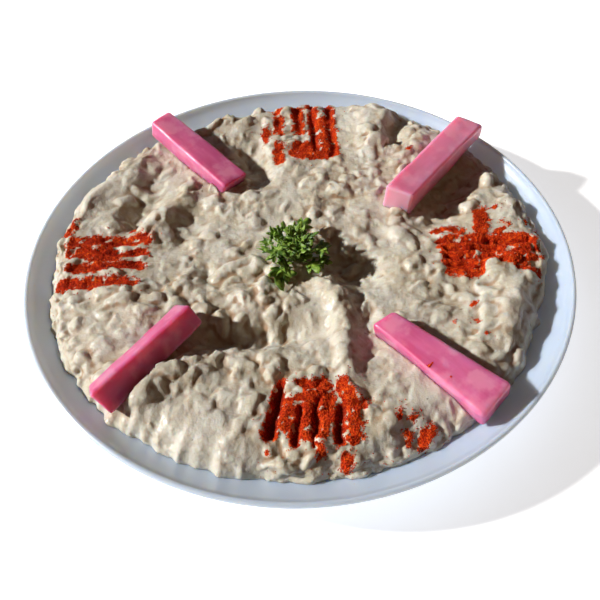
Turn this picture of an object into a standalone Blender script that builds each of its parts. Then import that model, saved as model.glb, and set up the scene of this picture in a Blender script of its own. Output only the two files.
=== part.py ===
"""A plate of baba ganoush, served as a meze.

The dip is spread nearly to the rim of a shallow round plate and rises in soft
spoon-shaped swells. Four batons of pickled turnip lie on it along the diagonals,
and a sprig of parsley sits in the middle.

Origin: the centre of the plate's foot, on the table. +X is right, +Y is the back,
+Z is up. Lengths are written in millimetres and turned into metres by MM.
"""

import math

import bmesh
import bpy
from mathutils import Vector, noise

MM = 0.001
GAP = 0.3  # between a piece and the one it rests in
SECTORS = 80  # round the plate and the dip

# The plate: a shallow coupe shape on a foot ring.
PLATE_RADIUS = 110.0
PLATE_HEIGHT = 24.0
LIP_RADIUS = 1.1  # the rim's edge is rounded by this radius
LIP_END = -math.pi / 4  # the rounding ends a little way underneath
WELL_RADIUS = 50.0  # the floor is flat inside this radius
WELL_FLOOR = 7.2
WALL_POWER = 3.4  # how sharply the inside curves up to the lip
FOOT_HEIGHT = 3.0
FOOT_INNER = 58.0
FOOT_OUTER = 62.0
FOOT_DRAFT = 1.5  # each side of the foot ring leans by this
FOOT_STEP = 0.6  # the underside starts this far above the recess inside the foot
UNDER_POWER = 2.5  # how sharply the underside curves up to the lip
LIP_INNER = PLATE_RADIUS - 2 * LIP_RADIUS
LIP_LEVEL = PLATE_HEIGHT - LIP_RADIUS

# The dip: the radius of its edge at equal turns anticlockwise from +X, and the level
# that its swells rise and sink from.
DIP_EDGE_RADII = (101, 101, 103, 103, 100, 97.5, 99.5, 101.5, 100.5, 100.5, 99, 98.5, 96.5, 97, 97.5, 97)
DIP_LEVEL = 25.0
DIP_EDGE = 0.7  # thickness of the dip at its very edge
SHOULDER = 9.0  # width of the rounded edge
FRONT_SHOULDER = 7.0  # added to it at the very front, where the dip thins out more gently
FRONT_SPREAD = 1.5  # above 1, more of the front is as wide as that
SHOULDER_POWERS = (2.1, 0.66)  # how its profile bends at the outer and the inner end
DIP_RINGS = 23
SOLE_RINGS = 6

# Spoonwork in the dip: (x, y, rise, half length, half width, heading in degrees).
SPOONWORK = (
    # back left
    (-90, 36, 2.6, 15, 7, 65),  # crest along the edge
    (-74, 52, 3.4, 15, 7, 60),  # the same crest, beside the baton
    (-66, 30, -4.6, 17, 6, 72),  # valley below that crest
    (-55, 26, 2.8, 14, 5, 55),  # finger across the valley
    (-46, 16, -3.0, 15, 6, 62),  # hollow behind the finger
    (-33, 87, 2.4, 7, 6, 20),  # heap at the back
    (-24, 80, 2.2, 6, 5, 60),
    (-19, 58, -5.6, 16, 8, -70),  # dip in front of it
    # back right
    (36, 80, 4.2, 20, 9, 82),  # broad heap
    (48, 77, -3.6, 12, 5, 72),  # notch beside it
    (47, 91, 2.0, 5, 5, 0),
    (54, 64, 3.0, 11, 5, 50),  # bank along the baton
    (67, 33, -7.4, 20, 9, 50),  # hollow in front of the baton
    (74, 30, 3.6, 9, 4.5, 80),  # lumps beyond the hollow
    (83, 41, 3.0, 6, 4, 60),
    (90, 25, 1.8, 9, 6, 70),
    (99, 4, 1.6, 9, 5, 90),
    # front right
    (82, -32, 4.2, 22, 8, 80),  # long smooth ridge
    (79, -14, 2.2, 5, 4, 70),  # its peak
    (62, -24, -1.4, 12, 9, 0),  # saddle inside it
    (39, -86, -3.0, 13, 8, 20),  # thin place
    (28, -84, 1.8, 8, 5, 60),
    # front
    (13, -22, 4.0, 10, 5, -55),  # fold in front of the middle
    (16, -44, 3.2, 18, 4.5, -86),
    (25, -34, -2.0, 13, 4, -80),  # step down beside the fold
    (26, -53, -1.4, 10, 5, 85),
    (-10, -28, 1.4, 16, 12, 0),
    # front left
    (-54, -61, 4.4, 12, 7, 50),  # mound against the baton
    (-57, -74, 3.0, 8, 6, 80),
    (-39, -57, 2.6, 8, 6, 10),
    (-17, -39, -8.0, 27, 6, 2),  # hollow behind that mound
    (-34, -82, 1.6, 20, 9, -22),
    (-66, -24, 3.0, 17, 12, -60),  # swell on the left
    # middle
    (21, -6, -7.4, 14, 9, -50),  # hollow beside the parsley
    (34, 9, -1.8, 9, 4, -60),
    (-36, -10, -2.4, 7, 3, 88),
)
SWELL_POWER = 1.3  # above 1, a swell is flatter on top and steeper at its sides
RIPPLE = 2.4  # height of the small lumps
RIPPLE_SIZE = 11.0

# The batons. Each has the middles of its inner and outer end faces, the widths and the
# heights there, its roll about its length in degrees, and how far each end is cut aslant,
# from side to side and from bottom to top.
BATONS = {
    "baton_back_left": {
        "inner": (-26.5, 41.0, 25.2),
        "outer": (-61.4, 78.5, 31.7),
        "widths": (13.6, 11.6),
        "heights": (9.3, 9.5),
        "roll": 1,
        "slants": (0.2, -0.5),
        "leans": (-1.1, -0.5),
    },
    "baton_back_right": {
        "inner": (42.0, 22.6, 29.9),
        "outer": (79.6, 69.2, 31.0),
        "widths": (12.2, 12.4),
        "heights": (12.6, 9.0),
        "roll": 6,
        "slants": (-1.5, -1.2),
        "leans": (0.2, -1.5),
    },
    "baton_front_left": {
        "inner": (-41.1, -33.2, 30.1),
        "outer": (-71.5, -68.6, 26.6),
        "widths": (11.9, 9.7),
        "heights": (9.8, 11.3),
        "roll": 40,
        "slants": (0.1, 1.9),
        "leans": (0.1, 0.6),
    },
    "baton_front_right": {
        "inner": (30.9, -38.5, 26.3),
        "outer": (66.9, -75.5, 25.2),
        "widths": (9.6, 16.3),
        "heights": (10.6, 9.5),
        "roll": 14,
        "slants": (1.3, 0.0),
        "leans": (0.0, 0.0),
    },
}
BATON_EDGE = 0.9  # rounding of the cut edges

# The parsley: a low tuft of leaves.
SPRIG_CENTRE = (-1.5, -3.5, 31.0)
SPRIG_SIZE = (16.0, 18.5, 9.0)  # half width, half depth, half height
SPRIG_TUFTS = 0.16  # how far the leafy lobes stand out, as a share of the size


def material(name, colour, roughness):
    """A plain glossy or matt finish in one colour."""
    made = bpy.data.materials.new(name)
    made.use_nodes = True
    shader = made.node_tree.nodes["Principled BSDF"]
    shader.inputs["Base Color"].default_value = (*colour, 1.0)
    shader.inputs["Roughness"].default_value = roughness
    shader.inputs["Metallic"].default_value = 0.0
    return made


def add_object(name, bm, finish, smooth_angle=40):
    """Turns a bmesh in millimetres into a named object in metres."""
    bmesh.ops.scale(bm, vec=Vector((MM, MM, MM)), verts=bm.verts)
    bmesh.ops.recalc_face_normals(bm, faces=bm.faces)
    mesh = bpy.data.meshes.new(name)
    bm.to_mesh(mesh)
    bm.free()
    mesh.materials.append(finish)
    mesh.shade_smooth()
    mesh.set_sharp_from_angle(angle=math.radians(smooth_angle))
    obj = bpy.data.objects.new(name, mesh)
    bpy.context.scene.collection.objects.link(obj)
    return obj


def inside_level(radius):
    """Height of the plate's inner surface at this radius."""
    climb = max(0.0, radius - WELL_RADIUS) / (LIP_INNER - WELL_RADIUS)
    return WELL_FLOOR + (LIP_LEVEL - WELL_FLOOR) * climb**WALL_POWER


def lip_point(angle):
    """(radius, height) on the rounding of the lip, at this angle from straight out."""
    centre = PLATE_RADIUS - LIP_RADIUS
    return centre + LIP_RADIUS * math.cos(angle), LIP_LEVEL + LIP_RADIUS * math.sin(angle)


def underside_level(radius):
    """Height of the plate's outer surface at this radius, outside the foot."""
    foot_edge = FOOT_OUTER + FOOT_DRAFT
    edge, top = lip_point(LIP_END)
    climb = (radius - foot_edge) / (edge - foot_edge)
    start = FOOT_HEIGHT + FOOT_STEP
    return start + (top - start) * climb**UNDER_POWER


def plate_profile():
    """(radius, height) points: out along the floor, over the lip, and back under to the axis."""
    points = [(0.0, WELL_FLOOR), (WELL_RADIUS, WELL_FLOOR)]
    wall_steps = 7
    for step in range(1, wall_steps + 1):
        radius = WELL_RADIUS + (LIP_INNER - WELL_RADIUS) * step / wall_steps
        points.append((radius, inside_level(radius)))
    lip_steps = 5
    for step in range(1, lip_steps + 1):
        points.append(lip_point(math.pi + (LIP_END - math.pi) * step / lip_steps))
    outer_steps = 6
    edge, foot_edge = points[-1][0], FOOT_OUTER + FOOT_DRAFT
    for step in range(1, outer_steps + 1):
        radius = edge + (foot_edge - edge) * step / outer_steps
        points.append((radius, underside_level(radius)))
    points += [
        (FOOT_OUTER, 0.0),
        (FOOT_INNER, 0.0),
        (FOOT_INNER - FOOT_DRAFT, FOOT_HEIGHT),
        (0.0, FOOT_HEIGHT),
    ]
    return points


def lathe(profile):
    """Turns a profile that starts and ends on the axis into a closed bmesh."""
    bm = bmesh.new()
    rings = []
    for radius, height in profile:
        if radius == 0.0:
            rings.append([bm.verts.new((0.0, 0.0, height))])
            continue
        turns = [2 * math.pi * k / SECTORS for k in range(SECTORS)]
        rings.append([bm.verts.new((radius * math.cos(t), radius * math.sin(t), height)) for t in turns])
    join_rings(bm, rings)
    return bm


def join_rings(bm, rings):
    """Faces between each ring and the next. A ring of one point becomes a fan."""
    for ring, following in zip(rings, rings[1:]):
        for k in range(SECTORS):
            after = (k + 1) % SECTORS
            corners = [ring[k % len(ring)], ring[after % len(ring)]]
            corners += [following[after % len(following)], following[k % len(following)]]
            bm.faces.new(dict.fromkeys(corners))


def dip_outline(angle):
    """Radius of the dip's edge in this direction, eased from one named radius to the next."""
    count = len(DIP_EDGE_RADII)
    place = angle / (2 * math.pi) % 1 * count
    k = int(place)
    ease = (1 - math.cos(math.pi * (place - k))) / 2
    return DIP_EDGE_RADII[k] + ease * (DIP_EDGE_RADII[(k + 1) % count] - DIP_EDGE_RADII[k])


def spoonwork(x, y):
    """Sum of the swells and hollows left by the spoon at this place."""
    total = 0.0
    for cx, cy, rise, half_length, half_width, heading in SPOONWORK:
        turn = math.radians(heading)
        along = (x - cx) * math.cos(turn) + (y - cy) * math.sin(turn)
        across = (y - cy) * math.cos(turn) - (x - cx) * math.sin(turn)
        away = (along / half_length) ** 2 + (across / half_width) ** 2
        total += rise * math.exp(-(away**SWELL_POWER))
    return total


def shoulder_width(x, y):
    """Width of the dip's rounded edge in this direction."""
    front = min(max(-FRONT_SPREAD * y / max(math.hypot(x, y), GAP), 0.0), 1.0)
    return SHOULDER + FRONT_SHOULDER * front * front * (3 - 2 * front)


def dip_level(x, y, outline):
    """Height of the dip's upper surface, rounded down to its edge on the plate."""
    radius = math.hypot(x, y)
    ripple = RIPPLE * noise.noise(Vector((x, y, 0.0)) / RIPPLE_SIZE)
    body = DIP_LEVEL + spoonwork(x, y) + ripple
    share = min(max(1 - (outline - radius) / shoulder_width(x, y), 0.0), 1.0)
    outer, inner = SHOULDER_POWERS
    edge = inside_level(outline) + GAP + DIP_EDGE
    return edge + (body - edge) * (1 - share**outer) ** inner


def build_plate():
    finish = material("white_glaze", (0.80, 0.84, 0.90), 0.2)
    return add_object("plate", lathe(plate_profile()), finish)


def build_dip():
    """The paste, from its sole on the plate to its uneven top."""
    bm = bmesh.new()
    turns = [2 * math.pi * k / SECTORS for k in range(SECTORS)]
    outlines = [dip_outline(t) for t in turns]
    rings = [[bm.verts.new((0.0, 0.0, WELL_FLOOR + GAP))]]
    for step in range(1, SOLE_RINGS + 1):
        ring = []
        for turn, outline in zip(turns, outlines):
            # The sole is flat over the well, then follows the wall in even steps.
            radius = WELL_RADIUS + (outline - WELL_RADIUS) * (step - 1) / (SOLE_RINGS - 1)
            level = inside_level(radius) + GAP
            ring.append(bm.verts.new((radius * math.cos(turn), radius * math.sin(turn), level)))
        rings.append(ring)
    for step in range(DIP_RINGS):
        share = 1 - step / DIP_RINGS
        reach = 0.75 * share + 0.25 * math.sin(math.pi / 2 * share)
        ring = []
        for turn, outline in zip(turns, outlines):
            x, y = outline * reach * math.cos(turn), outline * reach * math.sin(turn)
            ring.append(bm.verts.new((x, y, dip_level(x, y, outline))))
        rings.append(ring)
    rings.append([bm.verts.new((0.0, 0.0, dip_level(0.0, 0.0, DIP_EDGE_RADII[0])))])
    join_rings(bm, rings)
    return add_object("dip", bm, material("aubergine_paste", (0.68, 0.60, 0.45), 0.5))


def build_baton(name, finish, inner, outer, widths, heights, roll, slants, leans, swell=0.0):
    """A hand-cut baton with rounded edges. Its local +X runs from the inner to the outer end."""
    start, end = Vector(inner), Vector(outer)
    run = end - start
    half = run.length / 2 + swell
    bm = bmesh.new()
    ends = []
    for side, width, height, slant, lean in zip((-1, 1), widths, heights, slants, leans):
        across, up = width / 2 + swell, height / 2 + swell
        corners = [(-across, -up), (across, -up), (across, up), (-across, up)]
        ends.append([
            bm.verts.new((side * half + slant * y / across + lean * z / up, y, z)) for y, z in corners
        ])
    bm.faces.new(ends[0])
    bm.faces.new(ends[1])
    for k in range(4):
        bm.faces.new((ends[0][k], ends[0][k - 1], ends[1][k - 1], ends[1][k]))
    bmesh.ops.bevel(bm, geom=list(bm.edges), offset=BATON_EDGE, segments=2, profile=0.5, affect="EDGES")
    obj = add_object(name, bm, finish)
    obj.location = (start + end) / 2 * MM
    heading = math.atan2(run.y, run.x)
    pitch = math.asin(run.z / run.length)
    obj.rotation_euler = (math.radians(roll), -pitch, heading)
    return obj


def build_sprig(name, finish, swell=0.0):
    """The parsley as one leafy clump: a low dome whose surface is drawn out into tufts."""
    bm = bmesh.new()
    bmesh.ops.create_icosphere(bm, subdivisions=2, radius=1.0)
    for vert in bm.verts:
        tuft = 1 + SPRIG_TUFTS * noise.noise(vert.co * 2.6 + Vector((3.0, 0.0, 0.0)))
        vert.co = Vector([axis * (size * tuft + swell) for axis, size in zip(vert.co, SPRIG_SIZE)])
    obj = add_object(name, bm, finish)
    obj.location = Vector(SPRIG_CENTRE) * MM
    return obj


def press_into(dip, cutter):
    """Leaves a pocket in the dip round a piece that is pressed into it."""
    cutter.hide_render = True
    cutter.display_type = "WIRE"
    pocket = dip.modifiers.new("pocket_" + cutter.name, "BOOLEAN")
    pocket.operation = "DIFFERENCE"
    pocket.solver = "EXACT"
    pocket.object = cutter


def main():
    for obj in list(bpy.data.objects):
        bpy.data.objects.remove(obj)
    build_plate()
    dip = build_dip()
    pink = material("pickled_turnip", (0.72, 0.16, 0.32), 0.35)
    for name, shape in BATONS.items():
        build_baton(name, pink, **shape)
        press_into(dip, build_baton("around_" + name, pink, swell=GAP, **shape))
    green = material("parsley_leaf", (0.10, 0.22, 0.04), 0.5)
    build_sprig("parsley", green)
    press_into(dip, build_sprig("around_parsley", green, swell=GAP))


main()
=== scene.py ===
# %% [markdown]
# # A plate of baba ganoush
#
# Baba ganoush is mashed, smoked aubergine beaten with sesame paste. Here it fills a
# shallow white plate almost to the rim. Its top is left rough from the spoon, it has been
# marked with a fork dipped in paprika, and it is dressed with four batons of pickled
# turnip and a sprig of parsley.
#
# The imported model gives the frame: one object for each solid, all in metres, with the
# plate's foot at the origin. Each solid keeps its place, and a finer piece stands for it.

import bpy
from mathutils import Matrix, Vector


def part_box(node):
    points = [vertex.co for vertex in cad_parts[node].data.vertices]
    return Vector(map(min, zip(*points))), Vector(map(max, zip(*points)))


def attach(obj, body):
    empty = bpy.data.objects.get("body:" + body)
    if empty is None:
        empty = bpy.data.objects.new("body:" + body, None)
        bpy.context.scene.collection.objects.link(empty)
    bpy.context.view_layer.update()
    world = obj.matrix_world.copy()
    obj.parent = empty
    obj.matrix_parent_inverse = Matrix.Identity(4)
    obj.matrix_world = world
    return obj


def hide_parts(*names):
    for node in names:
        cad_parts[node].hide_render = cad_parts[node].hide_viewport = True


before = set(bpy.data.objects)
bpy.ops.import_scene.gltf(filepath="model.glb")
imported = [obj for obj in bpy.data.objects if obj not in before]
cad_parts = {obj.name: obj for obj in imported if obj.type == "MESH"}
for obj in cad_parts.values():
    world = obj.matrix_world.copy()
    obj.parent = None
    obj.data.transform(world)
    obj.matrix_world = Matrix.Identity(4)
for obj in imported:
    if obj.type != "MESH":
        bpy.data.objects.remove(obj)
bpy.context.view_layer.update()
print("solids in the frame:", sorted(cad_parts))

# %% [markdown]
# ## Tools for making meshes
#
# Food is easiest to think about in millimetres, so every shape below is worked out in
# millimetres and turned into metres once, when its object is made. Points are kept in
# numpy arrays, because the paste has a hundred thousand of them.

# %% From arrays to an object
import math

import bmesh
import bpy
import numpy as np
from mathutils import Matrix, Vector, noise
from mathutils.bvhtree import BVHTree

MM = 0.001


def make_piece(name, points, faces, place=None):
    """Makes a smooth-shaded mesh object from points in millimetres."""
    mesh = bpy.data.meshes.new(name)
    mesh.from_pydata([tuple(p) for p in np.asarray(points) * MM], [], [tuple(f) for f in faces])
    mesh.validate()
    mesh.shade_smooth()
    piece = bpy.data.objects.new(name, mesh)
    if place is not None:
        piece.matrix_world = place
    bpy.context.scene.collection.objects.link(piece)
    print(f"{name}: {len(mesh.vertices)} points, {len(mesh.polygons)} faces")
    return piece


def add_attribute(piece, name, values):
    """Stores one number for each point of the mesh, for its material to read."""
    layer = piece.data.attributes.new(name, "FLOAT", "POINT")
    layer.data.foreach_set("value", np.asarray(values, dtype=np.float32).ravel())


def settle(piece, slot, finish, *nodes):
    """Gives a piece its finish and its place in the frame."""
    piece.data.materials.append(finish)
    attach(piece, "root")
    if nodes:
        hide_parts(*nodes)


# %% [markdown]
# ## Tools for making materials
#
# A material is a graph of nodes, and long graphs are hard to read. `Socket` wraps one
# output, so that ordinary arithmetic on it adds the Math nodes. Every other kind of node
# comes from `Finish.node`, and colours are blended with `Finish.mix`.

# %% Shader expressions
class Socket:
    """One output of a node. Arithmetic on it adds Math nodes to the same material."""

    def __init__(self, finish, output):
        self.finish = finish
        self.output = output

    def _math(self, operation, first, second):
        return self.finish.node("ShaderNodeMath", {"operation": operation}, {0: first, 1: second})

    def __add__(self, other):
        return self._math("ADD", self, other)

    __radd__ = __add__

    def __sub__(self, other):
        return self._math("SUBTRACT", self, other)

    def __rsub__(self, other):
        return self._math("SUBTRACT", other, self)

    def __mul__(self, other):
        return self._math("MULTIPLY", self, other)

    __rmul__ = __mul__

    def __pow__(self, other):
        return self._math("POWER", self, other)


class Finish:
    """A node material under construction."""

    def __init__(self, name):
        self.material = bpy.data.materials.new(name)
        self.material.use_nodes = True
        self.tree = self.material.node_tree
        self.shader = self.tree.nodes["Principled BSDF"]

    def fill(self, node, sockets):
        """Gives the inputs of a node their values or links."""
        for key, value in sockets.items():
            target = node.inputs[key]
            if isinstance(value, Socket):
                self.tree.links.new(value.output, target)
            elif target.type == "RGBA" and len(value) == 3:
                target.default_value = (*value, 1.0)
            else:
                target.default_value = value

    def node(self, kind, settings=None, sockets=None, output=0):
        """Adds any node: its settings first, then its inputs. Ramp stops are a setting too."""
        made = self.tree.nodes.new(kind)
        for key, value in (settings or {}).items():
            if key == "stops":
                ramp = made.color_ramp
                while len(ramp.elements) < len(value):
                    ramp.elements.new(1.0)
                for element, (position, colour) in zip(ramp.elements, value):
                    element.position = position
                    element.color = (*colour, 1.0)
            else:
                setattr(made, key, value)
        self.fill(made, sockets or {})
        return Socket(self, made.outputs[output])

    def set(self, **sockets):
        """Sets inputs of the shader, with underscores for the spaces in their names."""
        self.fill(self.shader, {key.replace("_", " "): value for key, value in sockets.items()})

    def overlay(self, factor, **sockets):
        """Lays a second shader over the first, wherever the factor is 1."""
        upper = self.tree.nodes.new("ShaderNodeBsdfPrincipled")
        self.fill(upper, {key.replace("_", " "): value for key, value in sockets.items()})
        lower, upper = Socket(self, self.shader.outputs[0]), Socket(self, upper.outputs[0])
        both = self.node("ShaderNodeMixShader", {}, {0: factor, 1: lower, 2: upper})
        self.fill(self.tree.nodes["Material Output"], {"Surface": both})

    def place(self):
        """Where a point lies in its own object, in metres."""
        return self.node("ShaderNodeTexCoord", output="Object")

    def noise(self, size, detail=2.0, roughness=0.5, where=None):
        """Soft random values from 0 to 1, in lumps about this many millimetres wide."""
        return self.node(
            "ShaderNodeTexNoise",
            {"noise_dimensions": "3D"},
            {
                "Vector": where or self.place(),
                "Scale": 1 / (size * MM),
                "Detail": detail,
                "Roughness": roughness,
            },
        )

    def stretch(self, factors):
        """Coordinates scaled along each axis, for streaks."""
        return self.node("ShaderNodeVectorMath", {"operation": "MULTIPLY"}, {0: self.place(), 1: factors})

    def rise(self, value, low, high):
        """0 below low, 1 above high, and a smooth step between."""
        return self.node(
            "ShaderNodeMapRange",
            {"interpolation_type": "SMOOTHSTEP"},
            {"Value": value, "From Min": low, "From Max": high},
        )

    def mix(self, factor, colour, other):
        """One colour at factor 0 and the other at 1."""
        return self.node("ShaderNodeMix", {"data_type": "RGBA"}, {0: factor, 6: colour, 7: other}, output=2)

    def attribute(self, name):
        """A number stored on the mesh."""
        return self.node("ShaderNodeAttribute", {"attribute_name": name}, output="Fac")

    def bump(self, height, depth, under=None):
        """Surface detail this many millimetres deep, over any coarser bump."""
        sockets = {"Strength": 1.0, "Distance": depth * MM, "Height": height}
        if under is not None:
            sockets["Normal"] = under
        return self.node("ShaderNodeBump", {}, sockets)


# %% [markdown]
# ## The camera
#
# The plate is seen from the front and well above, from arm's length. The camera aims a
# little in front of the middle and leans slightly to one side.

# %% Camera
plate_low, plate_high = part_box("plate")
PLATE_RADIUS = (plate_high.x - plate_low.x) / 2 / MM
PLATE_HEIGHT = plate_high.z / MM

CAMERA_DISTANCE = 335.0  # from the middle of the rim
CAMERA_ELEVATION = math.radians(47.2)
AIM_ELEVATION = math.radians(50.35)
CAMERA_LEAN = math.radians(2.15)

camera = bpy.data.objects.new("camera", bpy.data.cameras.new("camera"))
camera.data.lens = 49.5
camera.location = Vector((
    0,
    -CAMERA_DISTANCE * math.cos(CAMERA_ELEVATION),
    CAMERA_DISTANCE * math.sin(CAMERA_ELEVATION) + PLATE_HEIGHT,
)) * MM
camera.rotation_euler = (Matrix.Rotation(math.pi / 2 - AIM_ELEVATION, 3, "X")
                         @ Matrix.Rotation(-CAMERA_LEAN, 3, "Z")).to_euler()
bpy.context.scene.collection.objects.link(camera)
bpy.context.scene.camera = camera
print("camera at", [round(c, 3) for c in camera.location])

# %% [markdown]
# ## Light and floor
#
# One soft lamp stands low on the left and a little behind, so that it rakes across the
# paste and each lump throws a shadow to the right. A faint sky fills the shadows: it is
# warm on the right, and cool at the back on the left, as by a window. Where a low camera
# looks past the floor it sees a plain pale backdrop, which throws no light. The floor is a
# plain pale sheet.

# %% Light and floor
LAMP_TURN = math.radians(180)
LAMP_ELEVATION = math.radians(31)
LAMP_SPREAD = math.radians(3)

lamp = bpy.data.objects.new("lamp", bpy.data.lights.new("lamp", "SUN"))
toward_lamp = Vector((
    math.cos(LAMP_TURN) * math.cos(LAMP_ELEVATION),
    math.sin(LAMP_TURN) * math.cos(LAMP_ELEVATION),
    math.sin(LAMP_ELEVATION),
))
lamp.rotation_euler = toward_lamp.to_track_quat("Z", "Y").to_euler()
lamp.data.angle = LAMP_SPREAD
lamp.data.energy = 4.8
lamp.data.color = (1.0, 0.975, 0.94)
bpy.context.scene.collection.objects.link(lamp)

sky = bpy.data.worlds.new("sky")
sky.use_nodes = True
nodes, links = sky.node_tree.nodes, sky.node_tree.links
direction, along, middle, blend = (
    nodes.new("ShaderNode" + kind) for kind in ("TexCoord", "VectorMath", "Math", "ValToRGB")
)
along.operation = "DOT_PRODUCT"
along.inputs[1].default_value = (-0.6, 0.75, 0.0)
middle.inputs[1].default_value = 0.15
blend.color_ramp.elements[0].color = (1.62, 0.86, 0.42, 1.0)
blend.color_ramp.elements[1].color = (0.90, 1.25, 1.95, 1.0)
links.new(direction.outputs["Generated"], along.inputs[0])
links.new(along.outputs["Value"], middle.inputs[0])
links.new(middle.outputs["Value"], blend.inputs["Fac"])
links.new(blend.outputs["Color"], nodes["Background"].inputs["Color"])
nodes["Background"].inputs["Strength"].default_value = 0.048

backdrop, seen, choice = (
    nodes.new("ShaderNode" + kind) for kind in ("Background", "LightPath", "MixShader")
)
backdrop.inputs["Color"].default_value = (1.0, 1.0, 1.0, 1.0)
links.new(seen.outputs["Is Camera Ray"], choice.inputs["Fac"])
links.new(nodes["Background"].outputs["Background"], choice.inputs[1])
links.new(backdrop.outputs["Background"], choice.inputs[2])
links.new(choice.outputs["Shader"], nodes["World Output"].inputs["Surface"])
bpy.context.scene.world = sky
bpy.context.scene.view_settings.view_transform = "Standard"

FLOOR = 2000.0
floor = make_piece(
    "floor",
    [(-FLOOR, -FLOOR, 0), (FLOOR, -FLOOR, 0), (FLOOR, FLOOR, 0), (-FLOOR, FLOOR, 0)],
    [(0, 1, 2, 3)],
)
card = Finish("pale_card")
paper = card.mix(card.noise(40), (0.90, 0.90, 0.90), (0.94, 0.94, 0.94))
card.set(Base_Color=paper, Roughness=0.9, Emission_Color=paper, Emission_Strength=0.7)
floor.data.materials.append(card.material)

# %% [markdown]
# ## The plate
#
# It is a coupe plate: no separate rim, only a wall that curves up and ends in a thin
# rounded lip. Such a shape is thrown or pressed round an axis, so it is made by turning
# one profile. The sizes are the solid's own, with more points where the profile bends.

# %% Plate shape
LIP_RADIUS = 1.1
LIP_INNER = PLATE_RADIUS - 2 * LIP_RADIUS
LIP_LEVEL = PLATE_HEIGHT - LIP_RADIUS
LIP_END = -math.pi / 4  # the rounding of the lip ends a little way underneath
WELL_RADIUS = 50.0
WELL_FLOOR = 7.2
WALL_POWER = 3.4
FOOT_HEIGHT = 3.0
FOOT_INNER = 58.0
FOOT_OUTER = 62.0
FOOT_DRAFT = 1.5
FOOT_STEP = 0.6
UNDER_POWER = 2.5
PLATE_SECTORS = 240


def inside_level(radius):
    """Height of the plate's inner surface at this radius."""
    climb = np.clip((radius - WELL_RADIUS) / (LIP_INNER - WELL_RADIUS), 0, 1)
    return WELL_FLOOR + (LIP_LEVEL - WELL_FLOOR) * climb**WALL_POWER


def plate_profile():
    """(radius, height) from the middle of the well, over the lip and back to the axis."""
    points = [(0.0, WELL_FLOOR), (WELL_RADIUS * 0.6, WELL_FLOOR)]
    points += [(r, inside_level(r)) for r in np.linspace(WELL_RADIUS, LIP_INNER, 24)]
    for angle in np.linspace(math.pi, LIP_END, 13)[1:]:
        points.append((
            PLATE_RADIUS - LIP_RADIUS + LIP_RADIUS * math.cos(angle),
            LIP_LEVEL + LIP_RADIUS * math.sin(angle),
        ))
    edge, top_of_under = points[-1]
    foot_edge = FOOT_OUTER + FOOT_DRAFT
    start = FOOT_HEIGHT + FOOT_STEP
    for radius in np.linspace(edge, foot_edge, 20)[1:]:
        climb = (radius - foot_edge) / (edge - foot_edge)
        points.append((radius, start + (top_of_under - start) * climb**UNDER_POWER))
    for radius, height in ((FOOT_OUTER, 0.0), (FOOT_INNER, 0.0), (FOOT_INNER - FOOT_DRAFT, FOOT_HEIGHT)):
        points.append((radius, height))
    return points + [(FOOT_INNER * 0.5, FOOT_HEIGHT), (0.0, FOOT_HEIGHT)]


def lathe(profile, sectors):
    """Points and faces of a profile turned about the axis. Its first and last points lie on it."""
    turns = np.linspace(0, 2 * math.pi, sectors, endpoint=False)
    rings = [[(r * math.cos(t), r * math.sin(t), z) for t in turns] for r, z in profile[1:-1]]
    points = [(0, 0, profile[0][1])] + [p for ring in rings for p in ring] + [(0, 0, profile[-1][1])]
    faces = []
    for k in range(sectors):
        after = (k + 1) % sectors
        faces.append((0, 1 + k, 1 + after))
        for ring in range(len(rings) - 1):
            near, far = 1 + ring * sectors, 1 + (ring + 1) * sectors
            faces.append((near + k, far + k, far + after, near + after))
        last = 1 + (len(rings) - 1) * sectors
        faces.append((last + after, last + k, len(points) - 1))
    return points, faces


plate = make_piece("plate_turned", *lathe(plate_profile(), PLATE_SECTORS))
plate.data.set_sharp_from_angle(angle=math.radians(50))

# %% [markdown]
# The glaze is white with a cool cast, glossy, and not quite even: it lies a little
# thicker in places, which bends its reflections. The foot ring is ground bare after
# firing, so its underside is warmer and dull.

# %% Plate finish
glaze = Finish("white_glaze")
height = glaze.node("ShaderNodeSeparateXYZ", {}, {0: glaze.place()}, output="Z")
bare = 1 - glaze.rise(height, 0.2 * MM, 0.8 * MM)
pooled = glaze.noise(18, detail=3)
white = glaze.mix(pooled, (0.465, 0.565, 0.705), (0.515, 0.615, 0.755))
pinholes = glaze.rise(glaze.noise(1.1, detail=0), 0.80, 0.86)
white = glaze.mix(pinholes * 0.5, white, (0.55, 0.52, 0.48))
glaze.set(
    Base_Color=glaze.mix(bare, white, (0.70, 0.62, 0.52)),
    Roughness=0.30 + 0.06 * glaze.noise(6) + 0.4 * bare,
    Normal=glaze.bump(glaze.noise(9, detail=1), 0.05),
    Subsurface_Weight=0.8,
    Subsurface_Radius=(1.0, 0.80, 0.56),
    Subsurface_Scale=6 * MM,
    Coat_Weight=0.15,
    Coat_Roughness=0.12,
)
settle(plate, "plate", glaze.material, "plate")

# %% [markdown]
# ## Random fields
#
# Natural surfaces need randomness that is smooth and the same on each run. `wander` is
# gradient noise: a random slope at each corner of a grid, blended between the corners.
# `heap` piles up overlapping caps, which is how a coarse paste looks: rounded lumps with
# sharp creases where they meet. Adding noise alone would give soft dunes and no creases.

# %% Random fields
def ease(share):
    """Smooth step from 0 to 1."""
    share = np.clip(share, 0, 1)
    return share * share * (3 - 2 * share)


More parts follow.
